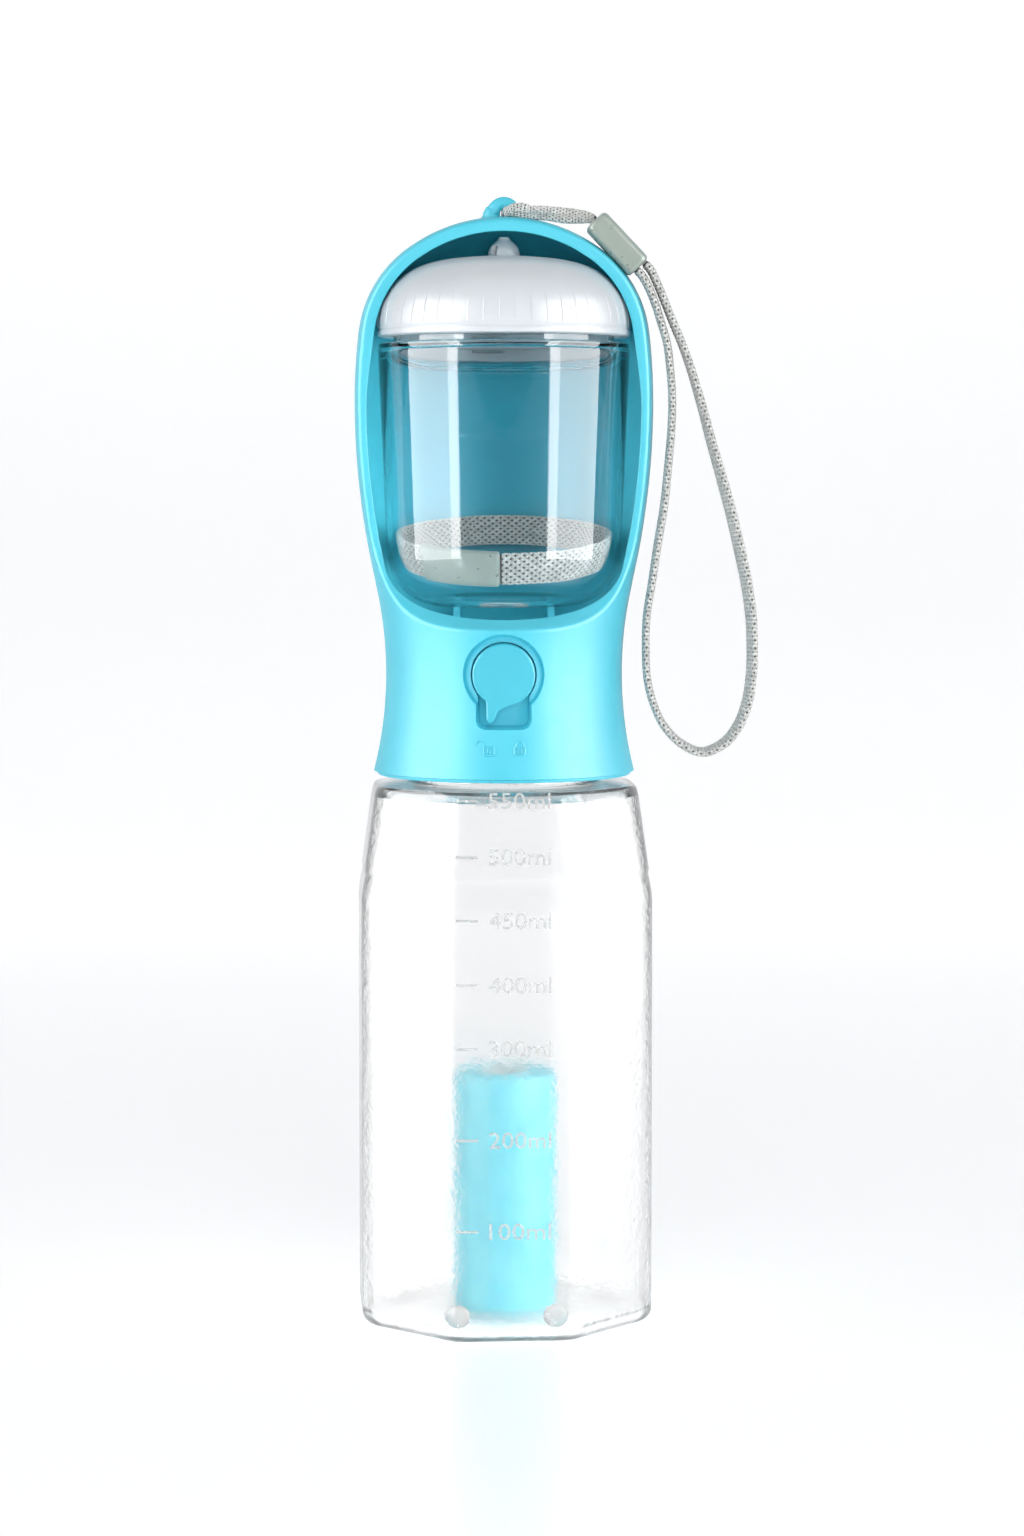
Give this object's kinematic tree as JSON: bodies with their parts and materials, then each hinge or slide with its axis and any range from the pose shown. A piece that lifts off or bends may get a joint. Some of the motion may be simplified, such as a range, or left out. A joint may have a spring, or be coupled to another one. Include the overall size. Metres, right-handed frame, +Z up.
{
  "type": "portable pet water bottle",
  "caption": "Portable pet water bottle: screw-on trough head with a locking push-button valve, lidded snack cup parked in the trough, waste-bag roll inside, and a woven wrist lanyard.",
  "frame": {"origin": "centre of the bottle's base, on the surface it stands on", "axes": "+Z up along the bottle's axis, -Y towards the button, the open side of the trough and the graduations, +X towards the hanging lanyard"},
  "size_m": [0.102, 0.074, 0.2858],
  "materials": {
    "clear_bottle": "clear moulded bottle plastic, faintly rippled inside",
    "bag_film": "thin pale blue film in many layers",
    "card_core": "plain brown card tube",
    "silicone": "soft milky silicone",
    "blue_plastic": "satin sky-blue moulding",
    "button_plastic": "satin sky-blue moulding with a polished bevel",
    "valve_plastic": "plain pale blue inner moulding",
    "black_rubber": "matt black nitrile rubber",
    "white_plastic": "satin white moulding",
    "spring_steel": "drawn stainless wire and stamped stainless sheet",
    "clear_cup": "clear polished moulding",
    "woven_tape": "flat grey braid with shiny white yarns",
    "crimp_plastic": "milky grey-green soft sleeve"
  },
  "bodies": {
    "bottle": {"bottle": "clear_bottle"},
    "bag_roll": {"bag_roll": "bag_film", "roll_core": "card_core"},
    "neck_ring": {"neck_gasket": "silicone"},
    "head": {"head_shell": "blue_plastic", "neck_cap": "blue_plastic", "valve_barrel": "valve_plastic", "inlet_seal": "silicone", "outlet_grommet": "silicone", "barrel_end_cap": "valve_plastic", "end_cap_seal": "black_rubber", "return_spring": "spring_steel", "lanyard_hitch": "woven_tape", "lanyard_crimp": "crimp_plastic", "lanyard_loop": "woven_tape"},
    "plunger": {"plunger_stem": "white_plastic", "stem_o_ring": "black_rubber", "valve_plug": "black_rubber", "spring_washer": "spring_steel"},
    "button": {"button_cap": "button_plastic"},
    "container": {"container_cup": "clear_cup", "spare_strap": "woven_tape", "spare_strap_crimp": "crimp_plastic"},
    "lid": {"container_lid": "white_plastic", "cup_seal": "silicone"}
  },
  "joints": [
    {"name": "head_lift", "type": "slide", "parent": "bottle", "child": "neck_ring", "axis": [0, 0, 1], "range_m": [0, 0.012]},
    {"name": "head_unscrew", "type": "hinge", "parent": "neck_ring", "child": "head", "pos_m": [0, 0, 0.145], "axis": [0, 0, 1], "range_deg": [0, 542]},
    {"name": "button_press", "type": "slide", "parent": "head", "child": "plunger", "axis": [0, 1, 0], "range_m": [0, 0.0026], "stiffness_N_per_m": 800, "springref_m": -0.004, "deforming": ["return_spring"]},
    {"name": "button_turn", "type": "hinge", "parent": "plunger", "child": "button", "pos_m": [0, -0.0284, 0.1663], "axis": [0, -1, 0], "range_deg": [0, 30]},
    {"name": "container_out", "type": "slide", "parent": "head", "child": "container", "axis": [0, -1, 0], "range_m": [0, 0.075]},
    {"name": "lid_turn", "type": "hinge", "parent": "container", "child": "lid", "pos_m": [0, 0, 0.2505], "axis": [0, 0, 1], "range_deg": [0, 60]},
    {"name": "bag_roll_lift", "type": "slide", "parent": "bottle", "child": "bag_roll", "axis": [0, 0, 1], "range_m": [0, 0.085]}
  ],
  "couplings": [
    {"joint": "head_unscrew", "follows": "head_lift", "rad_per_m": 785.4}
  ]
}
